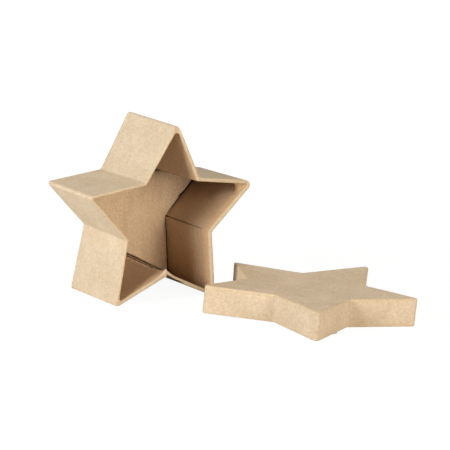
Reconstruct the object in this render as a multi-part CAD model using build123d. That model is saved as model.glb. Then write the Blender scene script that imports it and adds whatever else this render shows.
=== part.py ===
from build123d import *
import math
import os

# Papier-mache star box: a deep tray standing on two tips, its floor card, and its lid lying beside it.
# Lengths are in millimetres and angles in degrees. +Z is up, and the tray's mouth faces -Y.

# Star outline of the tray, measured where its straight walls would meet
tip_count = 5
tip_radius = 65.0
notch_radius = 33.9

# Tray
tray_depth = 52.0
tray_wall = 2.3
tray_bottom = 1.0
tray_tip_round = 1.8
tray_inner_tip_round = 0.5
tray_bottom_round = 1.1
tray_rim_round = 0.7

# Open scores along the inside ridges, where the folded card has split
score_width = 0.7
score_depth = 0.9
score_end = 5.5

# Floor card
floor_thick = 1.8
floor_gap = 0.8
floor_tip_round = 0.6

# Lid
lid_clearance = 1.4
lid_wall = 2.3
lid_top = 2.2
lid_height = 17.4
lid_tip_round = 2.0
lid_inner_tip_round = 0.6
lid_top_round = 1.0
lid_rim_round = 0.7

# Lid's place: right of and behind the tray's mouth centre, as shares of the tip radius, and its turn
lid_place_shares = (1.049, -0.893)
lid_turn = 3.4

# How far a cut runs past what it cuts
overrun = 1.0

# Angle from a tip to the next notch, and how far each straight wall passes from the star's centre
half_step = 180 / tip_count
wall_span = math.hypot(
    tip_radius - notch_radius * math.cos(math.radians(half_step)),
    notch_radius * math.sin(math.radians(half_step)),
)
wall_reach = tip_radius * notch_radius * math.sin(math.radians(half_step)) / wall_span


def polar(radius, angle):
    return (radius * math.cos(math.radians(angle)), radius * math.sin(math.radians(angle)))


# Star with its walls moved outward by grow, one tip toward +Y, rounded tips and sharp notches
def star(grow, tip_round):
    scale = (wall_reach + grow) / wall_reach
    corners = []
    for tip in range(tip_count):
        tip_angle = 90 + tip * 2 * half_step
        corners.append(polar(tip_radius * scale, tip_angle))
        corners.append(polar(notch_radius * scale, tip_angle + half_step))
    outline = make_face(Polyline(*corners, close=True))
    return fillet(outline.vertices().sort_by_distance((0, 0, 0))[-tip_count:], tip_round)


def lowest_face(solid):
    return solid.faces().sort_by(Axis.Z)[0]


def highest_face(solid):
    return solid.faces().sort_by(Axis.Z)[-1]


# Wedges that open the scores, each with its mouth on a ridge and its point in the wall
def score_wedges():
    ridge_radius = notch_radius * (wall_reach - tray_wall) / wall_reach
    half_mouth = score_width * (score_depth + overrun) / score_depth / 2
    wedge = make_face(
        Polyline(
            (ridge_radius - overrun, half_mouth),
            (ridge_radius + score_depth, 0),
            (ridge_radius - overrun, -half_mouth),
            close=True,
        )
    )
    wedge = extrude(wedge, tray_depth - score_end - tray_bottom)
    wedges = []
    for notch in range(tip_count):
        ridge_angle = 90 + half_step + notch * 2 * half_step
        wedges.append(Pos(0, 0, tray_bottom) * Rot(0, 0, ridge_angle) * wedge)
    return wedges


# Tray, with its bottom on the ground and its mouth upward
def make_tray():
    body = extrude(star(0, tray_tip_round), tray_depth)
    body = fillet(lowest_face(body).edges(), tray_bottom_round)
    hollow = extrude(star(-tray_wall, tray_inner_tip_round), tray_depth)
    body -= Pos(0, 0, tray_bottom) * hollow
    rim = highest_face(body)
    body = fillet(rim.outer_wire().edges() + rim.inner_wires()[0].edges(), tray_rim_round)
    return body - score_wedges()


# Card that lies on the tray's bottom, clear of the walls
def make_floor_card():
    card = extrude(star(-tray_wall - floor_gap, floor_tip_round), floor_thick)
    return Pos(0, 0, tray_bottom) * card


# Lid, standing on its rim with its top upward
def make_lid():
    cap = extrude(star(lid_clearance + lid_wall, lid_tip_round), lid_height)
    cap = fillet(highest_face(cap).edges(), lid_top_round)
    hollow_depth = lid_height - lid_top
    hollow = extrude(star(lid_clearance, lid_inner_tip_round), hollow_depth)
    cap -= hollow
    return fillet(lowest_face(cap).outer_wire().edges(), lid_rim_round)


# Stand the tray on its two lower tips, with the mouth at y = 0
upright = Pos(0, tray_depth, 0) * Rot(90, 0, 0)
tray = upright * make_tray()
floor_card = upright * make_floor_card()
lift = Pos(0, 0, -tray.bounding_box().min.Z)

lid_right, lid_back = (share * tip_radius for share in lid_place_shares)
lid = Pos(lid_right, lid_back, 0) * Rot(0, 0, lid_turn) * make_lid()

nodes = {
    "base_shell": lift * tray,
    "floor_card": lift * floor_card,
    "lid": lid,
}

# Put the origin on the ground, under the middle of the whole set
box = Compound(list(nodes.values())).bounding_box()
centred = Pos(-box.center().X, -box.center().Y, 0)

os.makedirs("parts", exist_ok=True)
for name, solid in nodes.items():
    placed = centred * solid
    export_step(placed, f"parts/{name}.step")
    extent = placed.bounding_box()
    print(name, "volume", round(placed.volume), "from", extent.min, "to", extent.max)
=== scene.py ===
import bpy
import math
from mathutils import Matrix, Vector, noise


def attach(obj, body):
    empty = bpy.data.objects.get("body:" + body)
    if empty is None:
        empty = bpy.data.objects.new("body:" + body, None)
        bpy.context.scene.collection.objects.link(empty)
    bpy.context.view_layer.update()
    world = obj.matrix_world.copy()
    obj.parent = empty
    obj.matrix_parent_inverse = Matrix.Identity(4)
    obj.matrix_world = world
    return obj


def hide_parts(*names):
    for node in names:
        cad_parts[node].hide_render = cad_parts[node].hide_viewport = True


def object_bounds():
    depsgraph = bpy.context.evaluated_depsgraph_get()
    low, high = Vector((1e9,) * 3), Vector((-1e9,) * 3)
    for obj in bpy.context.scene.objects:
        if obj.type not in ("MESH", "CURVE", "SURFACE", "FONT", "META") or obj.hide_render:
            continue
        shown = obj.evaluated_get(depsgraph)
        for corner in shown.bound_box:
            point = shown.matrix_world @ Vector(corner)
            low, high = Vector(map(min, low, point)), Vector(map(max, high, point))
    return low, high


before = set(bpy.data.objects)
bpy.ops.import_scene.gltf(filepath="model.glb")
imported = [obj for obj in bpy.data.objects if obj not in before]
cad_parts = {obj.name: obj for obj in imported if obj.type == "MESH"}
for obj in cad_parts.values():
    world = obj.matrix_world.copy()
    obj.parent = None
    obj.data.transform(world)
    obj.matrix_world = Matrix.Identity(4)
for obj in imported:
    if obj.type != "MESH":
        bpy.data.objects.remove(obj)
cadLow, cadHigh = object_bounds()
scene = bpy.context.scene
scene.view_settings.view_transform = "Standard"
mm = 0.001  # the shapes are worked out in millimetres
print("frame loaded:", sorted(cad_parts))

cameraValues = {
    "place": (-827.07, -1103.05, 344.86),
    "yaw": -36.246,
    "pitch": 11.964,  # downward
    "roll": -3.7,
    "focal": 2244.7,  # in pixels of the image
    "imageWidth": 450,
    "sensorWidth": 36,
    "clipEnd": 30,  # in metres
}


def makeCamera(values):
    yaw, pitch, roll = (math.radians(values[key]) for key in ("yaw", "pitch", "roll"))
    ahead = Vector((-math.sin(yaw) * math.cos(pitch), math.cos(yaw) * math.cos(pitch), -math.sin(pitch)))
    level = Vector((math.cos(yaw), math.sin(yaw), 0))
    below = ahead.cross(level)
    right = math.cos(roll) * level + math.sin(roll) * below
    up = math.sin(roll) * level - math.cos(roll) * below
    data = bpy.data.cameras.new("photoCamera")
    data.sensor_width = values["sensorWidth"]
    data.lens = values["focal"] / values["imageWidth"] * values["sensorWidth"]
    data.clip_end = values["clipEnd"]
    camera = bpy.data.objects.new("photoCamera", data)
    scene.collection.objects.link(camera)
    turn = Matrix((right, up, -ahead)).transposed().to_4x4()
    camera.matrix_world = Matrix.Translation(Vector(values["place"]) * mm) @ turn
    scene.camera = camera
    return math.degrees(math.atan2(-ahead.y, -ahead.x))


cameraBearing = makeCamera(cameraValues)
print("camera placed, bearing", round(cameraBearing, 1))


# Shader maths: one socket, with the operators that the finishes use
class Wire:
    def __init__(self, tree, socket=None):
        self.tree = tree
        self.socket = socket

    def node(self, kind, settings, values, output=0):
        made = self.tree.nodes.new(kind)
        for name, value in settings.items():
            setattr(made, name, value)
        for name, value in values.items():
            if isinstance(value, Wire):
                self.tree.links.new(value.socket, made.inputs[name])
            else:
                made.inputs[name].default_value = value
        return Wire(self.tree, made.outputs[output])

    def maths(self, operation, first, second):
        return self.node("ShaderNodeMath", {"operation": operation}, {0: first, 1: second})

    def __add__(self, other):
        return self.maths("ADD", self, other)

    def __radd__(self, other):
        return self.maths("ADD", other, self)

    def __sub__(self, other):
        return self.maths("SUBTRACT", self, other)

    def __rsub__(self, other):
        return self.maths("SUBTRACT", other, self)

    def __mul__(self, other):
        return self.maths("MULTIPLY", self, other)

    def __rmul__(self, other):
        return self.maths("MULTIPLY", other, self)

    def ramped(self, low, high):  # 0 below low, 1 above high, smooth between
        values = {"Value": self, "From Min": low, "From Max": high}
        return self.node("ShaderNodeMapRange", {"interpolation_type": "SMOOTHSTEP"}, values)

    def blended(self, amount, first, second, kind="MIX"):  # sockets 6, 7 and 2 of Mix are the colours
        settings = {"data_type": "RGBA", "blend_type": kind}
        return self.node("ShaderNodeMix", settings, {0: amount, 6: first, 7: second}, 2)

    def mixed(self, amount, other, kind="MIX"):  # a colour, part way to another colour
        return self.blended(amount, self, other, kind)


def linear(red, green, blue):  # screen colour 0 to 255, as the shader takes it
    shades = []
    for shade in (red, green, blue):
        part = shade / 255
        shades.append(part / 12.92 if part <= 0.04045 else ((part + 0.055) / 1.055) ** 2.4)
    return (*shades, 1)


# Kraft papier-mache: felted pulp with soft blotches, short fibres and paler worn edges
shellFinish = {
    "pulp": (218, 197, 167),
    "pale": (226, 207, 179),
    "tan": (212, 187, 151),
    # The inside is a browner lining. Its golden tone near the rim is partly painted light, the warm light
    # that falls there
    "warm": (213, 179, 139),  # inside, near the rim
    "middle": (199, 169, 136),  # inside, further in
    "inside": (198, 171, 142),  # inside, at the bottom
    "deep": (120, 78, 46),  # inside, where the light hardly comes
    "edge": (222, 195, 156),
    "raw": (232, 212, 183),  # torn fibres
    # dark: colour of the painted shade in gaps, splits, folds and under the rim, and of the lid's nick
    "dark": (60, 39, 21),
    "streak": 0.0,  # strength of the grain that runs along z
    "shift": (0.34, 0.54, 0.06),  # moves the blotches, in metres
    "contrast": 1.0,  # of the grain
}
lidFinish = dict(
    shellFinish,
    pulp=(217, 195, 165),
    pale=(227, 206, 178),
    edge=(221, 194, 154),
    shift=(0.55, 0.48, 0.46),
    contrast=1.15,
)
cardFinish = dict(
    shellFinish,
    pulp=(234, 207, 172),
    pale=(239, 213, 180),
    tan=(229, 198, 159),
    streak=0.2,
    shift=(0, 0, 0),
    contrast=1.35,
)

# The inside mark is 0 outside. It rises to these stops as the colour turns, and past the last one to deep,
# which is painted shade
liningStops = {"warm": 0.5, "middle": 0.75, "inside": 1}

pulpDetail = {
    # scale, detail and roughness of each noise
    "noises": {
        "blotch": (60, 3, 0.55),  # about 17 mm across
        "cloud": (190, 3, 0.6),
        "grain": (620, 2, 0.5),
        "fine": (1500, 1, 0.5),
        "speck": (800, 1, 0.4),
        "fibre": (1, 1, 0.5),
        "streak": (1, 2, 0.5),
    },
    "noiseMiddle": 0.5,
    # where in its noise each mark begins, and where it is full
    "ranges": {
        "blotch": (0.3, 0.75),
        "cloud": (0.45, 0.75),
        "speck": (0.68, 0.76),
        "fibre": (0.64, 0.78),
        "raw": (0.55, 0.8),
    },
    # how far each one lightens or darkens the paper
    "depths": {"grain": 0.36, "fine": 0.2, "speck": 0.1, "darkFibre": 0.06, "paleFibre": 0.05},
    "tints": {"Red": 0.8, "Green": 1, "Blue": 1.3},  # share of the grain in each colour
    "tanShare": 0.5,
    "edgeShares": (0.25, 0.5),  # plain, and more in the clouds
    "rawFine": 0.4,  # share of the fine grain in the torn fibres
    "grainStretch": (1, 1.5, 1),  # the grain is longer along the tray's depth
    "fibreTurns": ((0.3, 0.5, 0.2), (1.2, 0.4, 2.1), (2.2, 1.3, 0.7)),
    "fibreSize": (0.0048, 0.0008, 0.0008),  # long, wide and deep, in metres
    "streakSize": (0.0016, 0.0016, 0.016),
    "roughness": (0.86, 0.1),  # plain, and more with the grain
    "specular": 0.2,
    "bumps": {"fine": 0.35, "cloud": 0.9, "fibre": 0.4},  # height beside the grain's 1
    "bumpDepth": 0.0001,
    "bumpStrength": 0.5,
}


def makeFinish(name, colours, detail):
    ranges, depths, bumps = detail["ranges"], detail["depths"], detail["bumps"]
    material = bpy.data.materials.new(name)
    material.use_nodes = True
    tree = material.node_tree
    shader = tree.nodes["Principled BSDF"]
    start = Wire(tree)
    place = start.node("ShaderNodeTexCoord", {}, {}, "Object")
    place = start.node("ShaderNodeMapping", {}, {"Vector": place, "Location": colours["shift"]})

    def laid(size, turn=(0, 0, 0)):  # a place in which one unit is a fibre of this size, turned
        values = {"Vector": place, "Rotation": turn, "Scale": size}
        return start.node("ShaderNodeMapping", {"vector_type": "TEXTURE"}, values)

    def pulpNoise(kind, vector=place):
        scale, depth, roughness = detail["noises"][kind]
        values = {"Vector": vector, "Scale": scale, "Detail": depth, "Roughness": roughness}
        return start.node("ShaderNodeTexNoise", {}, values)

    def tone(key):
        return linear(*colours[key])

    blotch, cloud, speck = (pulpNoise(kind) for kind in ("blotch", "cloud", "speck"))
    stretched = laid(detail["grainStretch"])
    grain, fine = (pulpNoise(kind, stretched) for kind in ("grain", "fine"))
    fibres = [pulpNoise("fibre", laid(detail["fibreSize"], turn)) for turn in detail["fibreTurns"]]
    marks = start.node("ShaderNodeAttribute", {"attribute_name": "marks"}, {}, "Color")
    parts = start.node("ShaderNodeSeparateColor", {}, {"Color": marks})
    edge, raw, inside = (Wire(tree, socket) for socket in parts.socket.node.outputs)
    # painted shade, and the lid's nick, from the mesh
    dark = start.node("ShaderNodeAttribute", {"attribute_name": "paintedShadeAndNick"}, {}, "Fac")

    # Grain, specks and fibres, lighter above 0 and darker below
    half = detail["noiseMiddle"]
    shade = depths["grain"] * (grain - half) + depths["fine"] * (fine - half)
    shade = shade - depths["speck"] * speck.ramped(*ranges["speck"])
    for fibre in fibres:
        shade = shade - depths["darkFibre"] * fibre.ramped(*ranges["fibre"])
        shade = shade + depths["paleFibre"] * (1 - fibre).ramped(*ranges["fibre"])
    if colours["streak"]:
        streak = pulpNoise("streak", laid(detail["streakSize"]))
        shade = shade + colours["streak"] * (streak - half)
    shade = shade * colours["contrast"]

    colour = start.blended(blotch.ramped(*ranges["blotch"]), tone("pulp"), tone("pale"))
    colour = colour.mixed(cloud.ramped(*ranges["cloud"]) * detail["tanShare"], tone("tan"))
    reached = 0
    for key, stop in liningStops.items():
        colour = colour.mixed(inside.ramped(reached, stop), tone(key))
        reached = stop
    # past the last lining stop: painted shade of the tips under the arms
    colour = colour.mixed(inside - reached, tone("deep"))
    plain, cloudy = detail["edgeShares"]
    colour = colour.mixed(edge * (plain + cloudy * cloud), tone("edge"))
    tints = {part: 1 + share * shade for part, share in detail["tints"].items()}
    colour = colour.mixed(1, start.node("ShaderNodeCombineColor", {}, tints), "MULTIPLY")
    torn = (grain + detail["rawFine"] * fine).ramped(*ranges["raw"])
    colour = colour.mixed(raw * torn, tone("raw"))
    # painted shade, and the lid's nick, mixed in toward the dark colour
    colour = colour.mixed(dark, tone("dark"))
    tree.links.new(colour.socket, shader.inputs["Base Color"])

    plain, grainy = detail["roughness"]
    rough = plain + grainy * grain
    tree.links.new(rough.socket, shader.inputs["Roughness"])
    shader.inputs["Specular IOR Level"].default_value = detail["specular"]
    height = grain + bumps["fine"] * fine + bumps["cloud"] * cloud
    for fibre in fibres:
        height = height + bumps["fibre"] * fibre
    values = {"Strength": detail["bumpStrength"], "Distance": detail["bumpDepth"], "Height": height}
    bump = start.node("ShaderNodeBump", {}, values)
    tree.links.new(bump.socket, shader.inputs["Normal"])
    return material


shellPaper = makeFinish("shellPaper", shellFinish, pulpDetail)
lidPaper = makeFinish("lidPaper", lidFinish, pulpDetail)
cardPaper = makeFinish("cardPaper", cardFinish, pulpDetail)
print("finishes made")

# Star outlines. Corners go round from the tip at 90 degrees: even ones are tips, odd ones notches
cornerCount = 10
firstAngle = 90
ringSteps = {"tip": 9, "notch": 7, "wall": 26}  # points at each corner and along each wall
wallShares = [(part + 1) / (ringSteps["wall"] + 1) for part in range(ringSteps["wall"])]
turnSteps = 5  # rows round an edge
tipFade = 12  # a tip's wear ends a twelfth of the way along its walls
seedSteps = (17.31, 5.17, 9.73)  # keep the noises apart
# Across a split fold, as shares of its width and depth: two frayed lips and a V between them
slitReaches = (2.2, 1.0, 0.45, 0, 0.45, 1.0, 2.2)
slitSinks = (0, -0.16, 0.55, 1.0, 0.5, -0.1, 0)


def between(first, second, share):
    return first + (second - first) * share


def smooth(low, high, value):  # 0 at low, 1 at high, either way round
    part = min(1, max(0, (value - low) / (high - low)))
    return part * part * (3 - 2 * part)


def wobble(point, size, seed):  # smooth noise, about -1 to 1
    return noise.noise(point / size + Vector([seed * step for step in seedSteps]))


def uneven(point, layers):  # each layer is a size, a height and a seed
    return sum(wobble(point, size, seed) * height for size, height, seed in layers)


def wornAt(wear, away):  # wear is an amount, and how far from the edge it begins and is full
    amount, begin, full = wear
    return amount * smooth(begin, full, away)


def quarterTurn(first, last):  # rows round an edge, as shares across and up
    angles = [step / turnSteps * math.pi / 2 for step in range(first, last + 1)]
    return [(math.sin(angle), 1 - math.cos(angle)) for angle in angles]


def isTip(step):
    return step % 2 == 0


def cornerSteps(step):
    return ringSteps["tip" if isTip(step) else "notch"]


def starCorners(tipRadius, notchRadius, turn, shifts):
    corners = []
    for step in range(cornerCount):
        angle = math.radians(firstAngle + turn + step * 360 / cornerCount)
        radius = tipRadius if isTip(step) else notchRadius
        corner = Vector((radius * math.cos(angle), radius * math.sin(angle)))
        corners.append(corner + Vector(shifts[step][:2]))
    return corners


def wallNormals(corners):
    normals = []
    for step, corner in enumerate(corners):
        along = (corners[(step + 1) % cornerCount] - corner).normalized()
        normals.append(Vector((along.y, -along.x)))
    return normals


# One loop of points, with a growth and a rounding for each corner; slit opens the fold at each notch
def starRing(corners, grows, rounding, slit=None):
    normals = wallNormals(corners)
    arcs = []
    for step, corner in enumerate(corners):
        before, after = normals[step - 1], normals[step]
        miter = (before + after) / (1 + before.dot(after))
        side, radius = 1 if isTip(step) else -1, rounding[step]
        centre = corner + miter * (grows[step] - side * radius)
        first = math.atan2(before.y, before.x)
        turn = math.atan2(before.x * after.y - before.y * after.x, before.dot(after))
        steps = cornerSteps(step)
        arc = []
        for part in range(steps):
            angle = first + turn * part / (steps - 1)
            arc.append(centre + Vector((math.cos(angle), math.sin(angle))) * side * radius)
        if slit and not isTip(step):
            arc = slitArc(arc, corner + miter * grows[step], before, after, slit(step))
        arcs.append(arc)
    ring = []
    for step, arc in enumerate(arcs):
        end, begin = arc[-1], arcs[(step + 1) % cornerCount][0]
        ring += arc + [end.lerp(begin, share) for share in wallShares]
    return ring


# A fold that has split, in place of its rounded corner
def slitArc(arc, corner, before, after, slit):
    width, depth, opening = slit
    into = (before + after).normalized()
    back, ahead = Vector((before.y, -before.x)), Vector((-after.y, after.x))
    if back.dot(arc[0] - corner) < 0:
        back = -back
    if ahead.dot(arc[-1] - corner) < 0:
        ahead = -ahead
    made = []
    for index, (point, reach, sink) in enumerate(zip(arc, slitReaches, slitSinks)):
        way = back if index < len(arc) // 2 else ahead
        goal = corner + way * reach * width + into * sink * depth
        made.append(point.lerp(goal, opening))
    return made


# For each column of a ring: 1 on a tip, falling to 0 along its walls
def tipCloseness():
    closeness = []
    for step in range(cornerCount):
        closeness += [1.0 if isTip(step) else 0.0] * cornerSteps(step)
        for share in wallShares:
            away = share if isTip(step) else 1 - share
            closeness.append(max(0, 1 - away * tipFade))
    return closeness


# Column in the middle of each corner, where a split fold is deepest
def cornerColumns():
    columns, at = [], 0
    for step in range(cornerCount):
        columns.append(at + cornerSteps(step) // 2)
        at += cornerSteps(step) + ringSteps["wall"]
    return columns


nearTips = tipCloseness()
middles = cornerColumns()


def closeTo(column, middle, reach):  # 1 on the middle column, 0 from reach columns away
    return smooth(reach, 0, abs(column - middle))


def columnPast(corner, share):  # a share of the way from one corner to the next
    return between(middles[corner], middles[corner + 1], share)


# Mesh from loops of points, closed at both ends; marks are (edge, raw, inside, painted shade and the lid's
# nick) for each point
def skin(name, loops, marks, firstCentre, lastCentre, unevenness, material):
    count = len(loops[0])
    points = [firstCentre] + [point for loop in loops for point in loop] + [lastCentre]
    pointMarks = [marks[0][0]] + [mark for row in marks for mark in row] + [marks[-1][0]]
    faces = [(0, 1 + (col + 1) % count, 1 + col) for col in range(count)]
    for row in range(len(loops) - 1):
        for col in range(count):
            here = 1 + row * count + col
            there = 1 + row * count + (col + 1) % count
            faces.append((here, there, there + count, here + count))
    base = 1 + (len(loops) - 1) * count
    faces += [(base + col, base + (col + 1) % count, len(points) - 1) for col in range(count)]
    mesh = bpy.data.meshes.new(name)
    mesh.from_pydata([point * mm for point in points], [], faces)
    mesh.update()
    normals = [Vector(item.vector) for item in mesh.vertex_normals]
    low, high = cadLow / mm, cadHigh / mm
    for index, point in enumerate(points):
        moved = point + normals[index] * uneven(point, unevenness)
        kept = Vector(min(max(moved[axis], low[axis]), high[axis]) for axis in range(3))  # in the CAD box
        mesh.vertices[index].co = kept * mm
    mesh.attributes.new("marks", "FLOAT_COLOR", "POINT")
    mesh.attributes.new("paintedShadeAndNick", "FLOAT", "POINT")
    for index, (edge, raw, inside, dark) in enumerate(pointMarks):
        mesh.attributes["marks"].data[index].color = (edge, raw, inside, 1)
        mesh.attributes["paintedShadeAndNick"].data[index].value = dark
    mesh.shade_smooth()
    mesh.materials.append(material)
    piece = bpy.data.objects.new(name, mesh)
    scene.collection.objects.link(piece)
    print(name, "points", len(points), "faces", len(faces))
    return piece


# Tray: stands on its two lower tips, mouth toward -Y. Heights go from its bottom to the mouth
trayValues = {
    "centre": (-37.059, 51.278),  # x and z of the star's middle
    "back": 84.931,  # y of the outer bottom
    "tipRadius": 65.0,
    "notchRadius": 33.9,
    "depth": 52.0,
    "wall": 2.3,
    "bottom": 1.0,
    "rounds": {
        "outerTip": 2.2,
        "innerTip": 0.6,
        "outerNotch": 2.2,
        "innerNotch": 0.9,
        "bottom": 1.7,
        "rim": 0.85,
    },
    "tipRounds": {2: 1.6, 4: 1.5, 8: 3.2},  # tips rounded more or less outside
    "thinner": {0: 0.3, 1: 0.7, 2: 0.7, 3: 0.5, 4: 0.2},  # by how much the wall is thinner at a corner
    # tips filled by turned-in paper: rounding at the rim and further in, and how deep the paper goes
    "fills": {0: (2.4, 2.4, 12.5), 4: (1.8, 1.2, 6), 8: (0.8, 4.6, 6.5)},
    "fillTurn": (4, 1),  # from how far below the rim, and to where, its rounding changes
    "fillStep": 0.4,  # height of the paper's end
    "knock": {"corner": 0, "depth": 1.7, "columns": 7, "below": 3.5},  # worn rim at a tip
    "swell": {"corner": 5, "height": 2.6, "columns": 9, "below": 6.5},  # swollen rim at the widest split
    "slits": {
        "widths": {1: 0.6, 3: 0.6, 5: 2.0, 7: 0.7, 9: 0.5},  # by corner
        "depth": 1.5,
        "end": 5.5,  # below the rim
        "closing": 6,  # length over which it closes
        "taper": (1.1, 0.5),  # size at the bottom, and how much of it is lost up to the rim
        "ragged": ((4, 0.4, 5), (1.6, 0.2, 6)),
        "spots": (31.7, 4.2),  # keep the corners' ragged edges apart
        # painted shade down each split, and beside the widest one
        "dark": 0.9,
        "lipDark": 0.6,  # beside the widest split
        "lipRaw": 0.8,
    },
    "linings": ((0.5, 2.4), (2.4, 11), (17, 30)),  # below the rim, for each lining stop
    # painted shade in the gap round the floor card: highest it goes, usual edge below that, and how the
    # edge varies
    "gap": {
        "top": 2.6,
        "edge": 1.1,
        "ragged": ((6, 0.9, 7), (1.7, 0.5, 8)),
        "fade": (0.4, 0.5),
        "dark": 0.75,
    },
    "faintGap": {"corner": 7, "columns": 15, "left": 0.3},  # past this corner the card meets the wall, so the painted gap shade is fainter there
    # painted shade in tips under the arms, from some way below the rim: reach in columns and strength there
    # and deep in
    "darkTips": {
        8: {"below": 6.5, "fade": 0.2, "columns": (14, 36), "dark": (0.44, 0.75)},
        6: {"below": 4, "fade": 9, "columns": (9, 14), "dark": (0.44, 0.15)},
    },
    "darkTurn": 0.2,  # strength at which the lining's own colour is gone
    "paintedShadeFold": {"corner": 9, "columns": 8, "height": 13, "dark": 0.6},  # painted shade in a fold, darker toward its deep end
    # painted shade on the lower edge of the rim past a corner: columns, how many fade at each end, share of
    # the wall
    "underEdge": {"corner": 5, "columns": 15, "fades": (2, 5), "share": 0.45, "dark": 0.95},
    "wear": {"bottom": 0.7, "tips": 0.3, "outside": (0.9, 4, 0.5), "rim": 1, "inside": (0.8, 2.4, 0.9)},
    "rows": {"bottom": 15, "outside": 42, "inside": 40, "gap": 7, "floor": 5},
    "unevenness": ((26, 0.14, 1), (9, 0.03, 2)),
    # hand-wrapped corners, off from the true star, in x and z at the mouth and at the bottom
    "mouthShifts": (
        (1.8, -1.7), (-0.5, -1.2), (0.0, -0.3), (0.0, 0.8), (0.5, -0.2),
        (-0.6, -1.6), (0.6, 0.4), (0.8, 1.6), (3.0, 2.5), (1.1, -0.2),
    ),
    "bottomShifts": (
        (-1.5, -0.4), (-1.2, -1.6), (0.0, 0.0), (0.5, 0.8), (-1.2, -0.2),
        (-0.6, 0.7), (0.4, 0.0), (0.5, 1.7), (-0.2, 2.2), (0.5, -1.3),
    ),
}
starRadii = (trayValues["tipRadius"], trayValues["notchRadius"])
trayMouth = starCorners(*starRadii, 0, trayValues["mouthShifts"])
trayBack = starCorners(*starRadii, 0, trayValues["bottomShifts"])


def trayCorners(height):
    return [back.lerp(front, height / trayValues["depth"]) for back, front in zip(trayBack, trayMouth)]


def trayPoint(flat, height):
    across, up = trayValues["centre"]
    return Vector((across + flat.x, trayValues["back"] - height, up + flat.y))


def traySlit(values, height):  # gives width, depth and opening of the split at a corner
    slits, depth = values["slits"], values["depth"]
    end = depth - slits["end"]
    size, lost = slits["taper"]
    apart, aside = slits["spots"]

    def slit(step):
        ragged = 1 + uneven(Vector((step * apart, height, aside)), slits["ragged"])
        ragged *= size - lost * height / depth
        opening = 1 - smooth(end - slits["closing"], end, height)
        return slits["widths"][step] * ragged, slits["depth"] * ragged, opening

    return slit


def trayRounding(values, share, height):  # share is 0 outside and 1 inside
    rounds, depth = values["rounds"], values["depth"]
    turnFrom, turnTo = values["fillTurn"]
    noFill = (rounds["innerTip"], rounds["innerTip"], 0)
    rounding = [between(rounds["outerNotch"], rounds["innerNotch"], share)] * cornerCount
    for tip in range(0, cornerCount, 2):
        atRim, further, reach = values["fills"].get(tip, noFill)
        filled = smooth(depth - reach - values["fillStep"], depth - reach, height)
        fill = between(further, atRim, smooth(depth - turnFrom, depth - turnTo, height))
        innerTip = between(rounds["innerTip"], fill, filled)
        outerTip = values["tipRounds"].get(tip, rounds["outerTip"])
        rounding[tip] = between(outerTip, innerTip, share)
    return rounding


# Inside mark and painted shade of a point on the tray's inside
def insideMarks(values, column, point, height):
    depth, gap, faint, fold = values["depth"], values["gap"], values["faintGap"], values["paintedShadeFold"]
    lining, reached = 0.0, 0
    for stop, (begin, end) in zip(liningStops.values(), values["linings"]):
        lining += (stop - reached) * smooth(depth - begin, depth - end, height)
        reached = stop
    # painted shade deep in the tips under the arms: the lining goes past its last stop toward the deep
    # colour
    for tip, hidden in values["darkTips"].items():
        ledge = depth - hidden["below"]
        (nearReach, farReach), (nearDark, farDark) = hidden["columns"], hidden["dark"]
        reach = between(farReach, nearReach, height / ledge)
        dark = between(farDark, nearDark, smooth(0, ledge, height))
        dark *= smooth(ledge, ledge - hidden["fade"], height) * closeTo(column, middles[tip], reach)
        lining += (1 - lining) * smooth(0, values["darkTurn"], dark) + dark

    # painted shade on the wall's foot, in the gap round the floor card
    edge = values["bottom"] + gap["top"] - gap["edge"] + uneven(point, gap["ragged"])
    over, under = gap["fade"]
    paintedShadeAndNick = gap["dark"] * smooth(edge + over, edge - under, height)
    if middles[faint["corner"]] < column < middles[faint["corner"]] + faint["columns"]:
        paintedShadeAndNick *= faint["left"]
    # painted shade at the deep end of one fold
    folded = closeTo(column, middles[fold["corner"]], fold["columns"]) * smooth(fold["height"], 0, height)
    return lining, max(paintedShadeAndNick, fold["dark"] * folded)


def paintedUnderEdgeShade(values, column):  # painted shade along the lower edge of the rim
    under = values["underEdge"]
    past = column - middles[under["corner"]]
    first, last = under["fades"]
    return under["dark"] * smooth(0, first, past) * smooth(under["columns"], under["columns"] - last, past)


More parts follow.
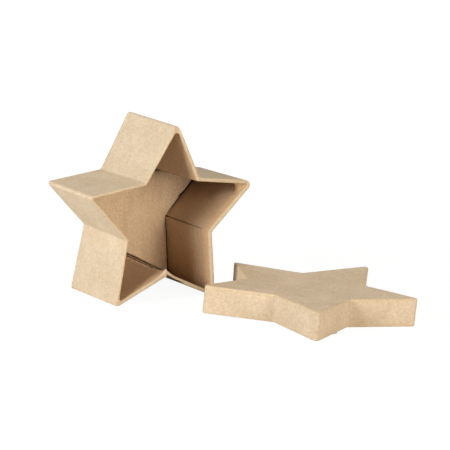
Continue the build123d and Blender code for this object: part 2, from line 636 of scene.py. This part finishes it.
def makeTray(values):
    rounds, rows, wear, slits = values["rounds"], values["rows"], values["wear"], values["slits"]
    depth, wall, bottom, rim = values["depth"], values["wall"], values["bottom"], rounds["rim"]
    knock, swell = values["knock"], values["swell"]
    loops, marks = [], []

    def row(grow, height, scale=1.0, inner=False, worn=0.0):
        share = min(1, max(0, -grow / wall))
        slit = traySlit(values, height) if inner and bottom < height < depth - slits["end"] else None
        corners = trayCorners(height)
        grows = [grow + values["thinner"].get(step, 0) * share for step in range(cornerCount)]
        ring = starRing(corners, grows, trayRounding(values, share, height), slit)
        swelling = swell["height"] * share * smooth(depth - swell["below"], depth, height)
        inward = -corners[swell["corner"]].normalized() * swelling
        sinking = knock["depth"] * (1 - share) * smooth(depth - knock["below"], depth, height)
        loop = []
        for column, flat in enumerate(ring):
            swollen = flat + inward * closeTo(column, middles[swell["corner"]], swell["columns"])
            sunk = sinking * closeTo(column, middles[knock["corner"]], knock["columns"])
            loop.append(trayPoint(swollen * scale, height - sunk))
        loops.append(loop)
        onUnderEdge = share < values["underEdge"]["share"] and height > depth - rim
        rowMarks = []
        for column, (nearTip, point) in enumerate(zip(nearTips, loop)):
            edge, lining, paintedShadeAndNick = worn, 0.0, 0.0
            if inner:
                lining, paintedShadeAndNick = insideMarks(values, column, point, height)
            else:
                edge = max(worn, wear["tips"] * nearTip)
                paintedShadeAndNick = paintedUnderEdgeShade(values, column) if onUnderEdge else 0.0
            rowMarks.append((edge * scale, 0.0, lining, paintedShadeAndNick))
        if slit:
            for step in range(1, cornerCount, 2):
                opening = slit(step)[2]
                # painted shade down the middle of the split
                rowMarks[middles[step]] = (0, 0, 1, slits["dark"] * opening)
                if step == swell["corner"]:  # the widest split shows painted shade and torn fibres beside it
                    for side in (-1, 1):
                        rowMarks[middles[step] + side] = (0, 0, 1, slits["lipDark"] * opening)
                        rowMarks[middles[step] + 2 * side] = (0, slits["lipRaw"] * opening, 1, 0)
        marks.append(rowMarks)

    for part in range(1, rows["bottom"]):
        row(-rounds["bottom"], 0, part / rows["bottom"])
    for across, up in quarterTurn(0, turnSteps - 1):
        row(-rounds["bottom"] * (1 - across), rounds["bottom"] * up, worn=wear["bottom"])
    for part in range(rows["outside"] + 1):
        height = rounds["bottom"] + (depth - rim - rounds["bottom"]) * part / rows["outside"]
        row(0, height, worn=wornAt(wear["outside"], depth - height))
    for across, up in quarterTurn(1, turnSteps):
        row(-rim * up, depth - rim * (1 - across), worn=wear["rim"])
    row(-wall / 2, depth, worn=wear["rim"])
    for across, up in quarterTurn(0, turnSteps):
        row(-wall + rim * (1 - across), depth - rim * up, worn=wear["rim"])
    rimEnd, gapTop = depth - rim, bottom + values["gap"]["top"]
    heights = [rimEnd + (gapTop - rimEnd) * (part + 1) / rows["inside"] for part in range(rows["inside"])]
    heights += [gapTop + (bottom - gapTop) * (part + 1) / rows["gap"] for part in range(rows["gap"])]
    for *_, reach in values["fills"].values():
        heights += [depth - reach - values["fillStep"] * part / 2 for part in range(3)]
    for height in sorted(heights, reverse=True):
        row(-wall, height, inner=True, worn=wornAt(wear["inside"], depth - height))
    for part in range(1, rows["floor"]):
        row(-wall, bottom, 1 - part / rows["floor"], inner=True)
    outside, inside = (trayPoint(Vector((0, 0)), height) for height in (0, bottom))
    return skin("trayShell", loops, marks, outside, inside, values["unevenness"], shellPaper)


tray = makeTray(trayValues)
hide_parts("base_shell")
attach(tray, "root")

# Floor card: lies on the tray's bottom, torn edges clear of the walls
cardValues = {
    "thick": 1.8,
    "clear": 0.02,  # above the tray's bottom
    "gap": 0.95,
    "pulls": {6: 0.3, 7: -0.5, 8: 2.2, 9: 0.5},  # how much further from the wall some corners sit
    "paintedCornerShadow": {"corner": 9, "columns": 24, "from": 0.72, "dark": 0.42},  # painted shadow in a corner, outer part only
    "bite": {"corner": 7, "share": 0.5, "columns": 2.6, "depth": 1.3},  # torn place, toward the next corner
    "ragged": ((6, 0.35, 11), (1.8, 0.22, 12)),
    "raggedOut": 0.45,  # the most that the torn edge stands out
    "raggedFrom": 0.7,  # share of the way out
    "cornerRound": 0.7,
    "edge": {"low": 0.25, "groove": 0.12, "inset": 0.2},  # the top edge falls away, the side has a groove
    "frays": {"side": 0.9, "top": 0.8, "next": 0.5},  # torn fibres
    "frayWear": 0.4,
    "rows": {"bottom": 4, "side": 3, "top": 26},
    "unevenness": ((30, 0.1, 21), (9, 0.02, 22)),
}


def makeCard(values):
    low = trayValues["bottom"] + values["clear"]
    high = trayValues["bottom"] + values["thick"]
    paintedCornerShadow, bite, edge = values["paintedCornerShadow"], values["bite"], values["edge"]
    frays, rows = values["frays"], values["rows"]
    biteColumn = columnPast(bite["corner"], bite["share"])
    loops, marks = [], []

    def row(height, scale=1.0, inset=0.0, fray=0.0):
        grows = [-trayValues["wall"] - values["gap"] - inset] * cornerCount
        corners = trayCorners(height)
        for corner, pull in values["pulls"].items():
            corners[corner] = corners[corner] - corners[corner].normalized() * pull
        ring = starRing(corners, grows, [values["cornerRound"]] * cornerCount)
        loop = []
        for column, flat in enumerate(ring):
            ragged = max(-values["raggedOut"], uneven(trayPoint(flat, height), values["ragged"]))
            ragged += bite["depth"] * closeTo(column, biteColumn, bite["columns"])
            pulled = flat - flat.normalized() * ragged * smooth(values["raggedFrom"], 1, scale)
            loop.append(trayPoint(pulled * scale, height))
        loops.append(loop)
        # painted shadow that the arm above casts into one corner of the card
        paintedCornerShadowAmount = paintedCornerShadow["dark"] * smooth(paintedCornerShadow["from"], 1, scale)
        rowMarks = []
        for column in range(len(loop)):
            paintedShadeAndNick = paintedCornerShadowAmount * closeTo(column, middles[paintedCornerShadow["corner"]], paintedCornerShadow["columns"])
            rowMarks.append((values["frayWear"] * fray, fray, 0.0, paintedShadeAndNick))
        marks.append(rowMarks)

    for part in range(1, rows["bottom"]):
        row(low, part / rows["bottom"])
    for part in range(rows["side"] + 1):
        height = low + (high - edge["low"] - low) * part / rows["side"]
        row(height, 1, edge["groove"] * (part % 2), frays["side"])
    row(high, 1, edge["inset"], frays["top"])
    for part in range(1, rows["top"]):
        row(high, 1 - part / rows["top"], edge["inset"], frays["next"] if part == 1 else 0.0)
    under, over = (trayPoint(Vector((0, 0)), height) for height in (low, high))
    return skin("floorCard", loops, marks, under, over, values["unevenness"], cardPaper)


card = makeCard(cardValues)
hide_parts("floor_card")
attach(card, "root")

# Lid: lies on its rim beside the tray, a little warped
lidValues = {
    "centre": (31.126, -25.114),
    "turn": 3.4,
    "grow": 3.7,  # clearance and wall, past the tray's own outline
    "wall": 2.3,
    "top": 2.2,
    "height": 17.4,
    "rounds": {
        "outerTip": 2.0,
        "innerTip": 0.6,
        "outerNotch": 2.8,
        "innerNotch": 0.9,
        "top": 0.95,
        "rim": 0.7,
        "innerRim": 0.28,
    },
    "sharpTips": {0: (0.6, 0.6), 4: (2.6, 1.3)},  # tips folded otherwise: rounding at the rim and higher up
    "sharpBy": 0.5,  # share of the height
    # dark nick past a corner, and a flap at the rim on the way to the next corner
    "chip": {"corner": 0, "columns": (2, 5), "heights": (12.6, 15.8), "dark": 0.8},
    "burr": {"corner": 4, "share": 0.57, "columns": 2.2, "depth": 1.2, "height": 3.0},
    "wear": {"rim": 0.8, "low": (0.6, 2.5, 0.5), "high": (0.9, 2.5, 1), "top": 1, "next": 0.4, "tips": 0.2},
    "tipsFrom": 0.9,  # share of the way out where the tips' wear begins
    "warpFall": 3,  # power at which the warp dies out toward the middle
    "rows": {"under": 8, "wall": 15, "top": 30},
    "unevenness": ((24, 0.14, 31), (9, 0.03, 32)),
    # corners off from the true star in x, y and height
    "topShifts": (
        (-1.8, -0.7, 0.0), (-1.4, 1.0, 0.0), (2.8, 2.2, 1.8), (0.6, 1.6, 0.3), (1.0, 0.6, 0.8),
        (0.5, -1.2, 0.2), (0.1, 0.9, 0.4), (-0.4, -2.6, 0.0), (1.2, -1.9, 1.6), (-1.8, -1.4, 0.0),
    ),
    "rimShifts": (
        (-1.8, -0.7, 0.0), (-1.4, 1.0, 0.0), (2.1, 2.2, 1.4), (0.4, 1.8, 0.2), (0.4, 0.6, 0.0),
        (-0.4, -1.8, 0.0), (-1.0, 0.6, 0.0), (-0.4, -2.6, 0.0), (0.0, -2.0, 0.5), (-1.8, -1.4, 0.0),
    ),
}
lidTop = starCorners(*starRadii, lidValues["turn"], lidValues["topShifts"])
lidRim = starCorners(*starRadii, lidValues["turn"], lidValues["rimShifts"])


# How far the warped corners lift each column of a ring
def columnLifts(shifts):
    lifts = []
    for step in range(cornerCount):
        here, there = shifts[step][2], shifts[(step + 1) % cornerCount][2]
        lifts += [here] * cornerSteps(step) + [between(here, there, share) for share in wallShares]
    return lifts


def makeLid(values):
    rounds, rows, wear = values["rounds"], values["rows"], values["wear"]
    tall, wall, rim, grown = values["height"], values["wall"], rounds["rim"], values["grow"]
    chip, burr = values["chip"], values["burr"]
    topLifts, rimLifts = columnLifts(values["topShifts"]), columnLifts(values["rimShifts"])
    burrColumn = columnPast(burr["corner"], burr["share"])
    loops, marks = [], []

    def lidPoint(flat, height):
        across, back = values["centre"]
        return Vector((across + flat.x, back + flat.y, height))

    def row(grow, height, scale=1.0, inner=False, worn=0.0):
        share = height / tall
        corners = [low.lerp(high, share) for low, high in zip(lidRim, lidTop)]
        inset = min(1, max(0, (grown - grow) / wall))
        tipRound = between(rounds["outerTip"], rounds["innerTip"], inset)
        notchRound = between(rounds["outerNotch"], rounds["innerNotch"], inset)
        rounding = [tipRound, notchRound] * (cornerCount // 2)
        for tip, (atRim, above) in values["sharpTips"].items():
            outerTip = between(atRim, above, smooth(0, values["sharpBy"], share))
            rounding[tip] = between(outerTip, rounds["innerTip"], inset)
        ring = starRing(corners, [grow] * cornerCount, rounding)
        bulge = 0 if inner else burr["depth"] * smooth(burr["height"], 0, height)
        outward = wallNormals(corners)[burr["corner"]] * bulge
        loop = []
        for column, (flat, low, high) in enumerate(zip(ring, rimLifts, topLifts)):
            lift = between(low, high, share) * scale ** values["warpFall"]
            flat = flat + outward * closeTo(column, burrColumn, burr["columns"])
            loop.append(lidPoint(flat * scale, height + lift))
        loops.append(loop)
        tipWear = 0.0 if inner else wear["tips"] * smooth(values["tipsFrom"], 1, scale)
        lining = liningStops["warm"] if inner else 0.0
        rowMarks = [(max(worn, tipWear * nearTip), 0.0, lining, 0.0) for nearTip in nearTips]
        if chip["heights"][0] < height < chip["heights"][1] and not inner:
            for past in range(*chip["columns"]):
                rowMarks[middles[chip["corner"]] + past] = (0.0, 0.0, 0.0, chip["dark"])
        marks.append(rowMarks)

    under = tall - values["top"]
    for part in range(1, rows["under"]):
        row(grown - wall, under, part / rows["under"], inner=True)
    for part in range(rows["wall"] + 1):
        row(grown - wall, under - (under - rounds["innerRim"]) * part / rows["wall"], inner=True)
    row(grown - wall + rounds["innerRim"], 0, worn=wear["rim"])
    row(grown - wall / 2, 0, worn=wear["rim"])
    for across, up in quarterTurn(0, turnSteps):
        row(grown - rim * (1 - across), rim * up, worn=wear["rim"])
    for part in range(1, rows["wall"] + 1):
        height = rim + (tall - rounds["top"] - rim) * part / rows["wall"]
        row(grown, height, worn=wornAt(wear["low"], height) + wornAt(wear["high"], tall - height))
    for across, up in quarterTurn(1, turnSteps):
        row(grown - rounds["top"] * up, tall - rounds["top"] * (1 - across), worn=wear["top"])
    for part in range(1, rows["top"]):
        row(grown - rounds["top"], tall, 1 - part / rows["top"], worn=wear["next"] if part == 1 else 0.0)
    lower, upper = (lidPoint(Vector((0, 0)), height) for height in (under, tall))
    return skin("lidShell", loops, marks, lower, upper, values["unevenness"], lidPaper)


lid = makeLid(lidValues)
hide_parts("lid")
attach(lid, "root")

# Studio: white floor, low soft key on the left, wide warm fill on the right, weak lamps above and behind
studio = {
    "target": (0, 0, 45),
    "distance": 1200,
    # name: bearing from the camera (left is negative), height angle, size, watts, colour
    "lamps": {
        "keyLamp": (-47.5, 18, 390, 11.2, (1, 1, 1)),
        "fillLamp": (48, 17, 700, 8.3, (1, 0.92, 0.81)),
        "highLamp": (60, 55, 600, 1.6, (1, 0.96, 0.91)),
        "topLamp": (-30, 60, 600, 0.4, (1, 0.96, 0.91)),
        "backLamp": (-150, 55, 600, 2.6, (1, 1, 1)),
        "sideLamp": (150, 30, 600, 2.6, (1, 1, 1)),
    },
    "floorSize": 8000,
    "floorColour": 0.8,
    "floorWhite": 0.86,  # how much of the floor that the camera sees is plain white, near the box
    "floorFade": (0.16, 0.55),  # from the first to the second distance it goes to all white, in metres
    "floorGlow": 1.09,
}


# 1 for what the camera sees, straight or in a reflection, and 0 for the light on the paper
def whiteRays(start):
    kinds = ("Is Camera Ray", "Is Glossy Ray", "Is Transmission Ray")
    rays = [start.node("ShaderNodeLightPath", {}, {}, kind) for kind in kinds]
    return start.maths("MINIMUM", rays[0] + rays[1] + rays[2], 1)


def makeLamps(values):
    for name, (bearing, rise, size, power, tint) in values["lamps"].items():
        data = bpy.data.lights.new(name, "AREA")
        data.shape = "SQUARE"
        data.size = size * mm
        data.energy = power
        data.color = tint
        lamp = bpy.data.objects.new(name, data)
        scene.collection.objects.link(lamp)
        around, up = math.radians(cameraBearing + bearing), math.radians(rise)
        way = Vector((math.cos(around) * math.cos(up), math.sin(around) * math.cos(up), math.sin(up)))
        lamp.location = (Vector(values["target"]) + way * values["distance"]) * mm
        lamp.rotation_euler = way.to_track_quat("Z", "Y").to_euler()


def makeFloor(values):
    half = values["floorSize"] / 2 * mm
    mesh = bpy.data.meshes.new("floorSheet")
    corners = [(-half, -half, 0), (half, -half, 0), (half, half, 0), (-half, half, 0)]
    mesh.from_pydata(corners, [], [(0, 1, 2, 3)])
    floor = bpy.data.objects.new("floorSheet", mesh)
    scene.collection.objects.link(floor)
    material = bpy.data.materials.new("floorWhite")
    material.use_nodes = True
    tree = material.node_tree
    shader = tree.nodes["Principled BSDF"]
    shade = values["floorColour"]
    shader.inputs["Base Color"].default_value = (shade, shade, shade, 1)
    shader.inputs["Roughness"].default_value = 1
    shader.inputs["Specular IOR Level"].default_value = 0
    start = Wire(tree)
    seen = whiteRays(start)
    glow = start.node("ShaderNodeEmission", {}, {"Color": (1, 1, 1, 1), "Strength": values["floorGlow"]})
    lit = Wire(tree, shader.outputs[0])
    place = start.node("ShaderNodeTexCoord", {}, {}, "Object")
    away = start.node("ShaderNodeVectorMath", {"operation": "LENGTH"}, {0: place}, "Value")
    white = values["floorWhite"] + away.ramped(*values["floorFade"]) * (1 - values["floorWhite"])
    both = start.node("ShaderNodeMixShader", {}, {0: seen * white, 1: lit, 2: glow})
    tree.links.new(both.socket, tree.nodes["Material Output"].inputs["Surface"])
    mesh.materials.append(material)


def makeWorld():
    world = bpy.data.worlds.new("studioWorld")
    world.use_nodes = True
    back = world.node_tree.nodes["Background"]
    back.inputs["Color"].default_value = (1, 1, 1, 1)
    seen = whiteRays(Wire(world.node_tree))
    world.node_tree.links.new(seen.socket, back.inputs["Strength"])
    scene.world = world


makeLamps(studio)
makeFloor(studio)
makeWorld()
print("studio lit")
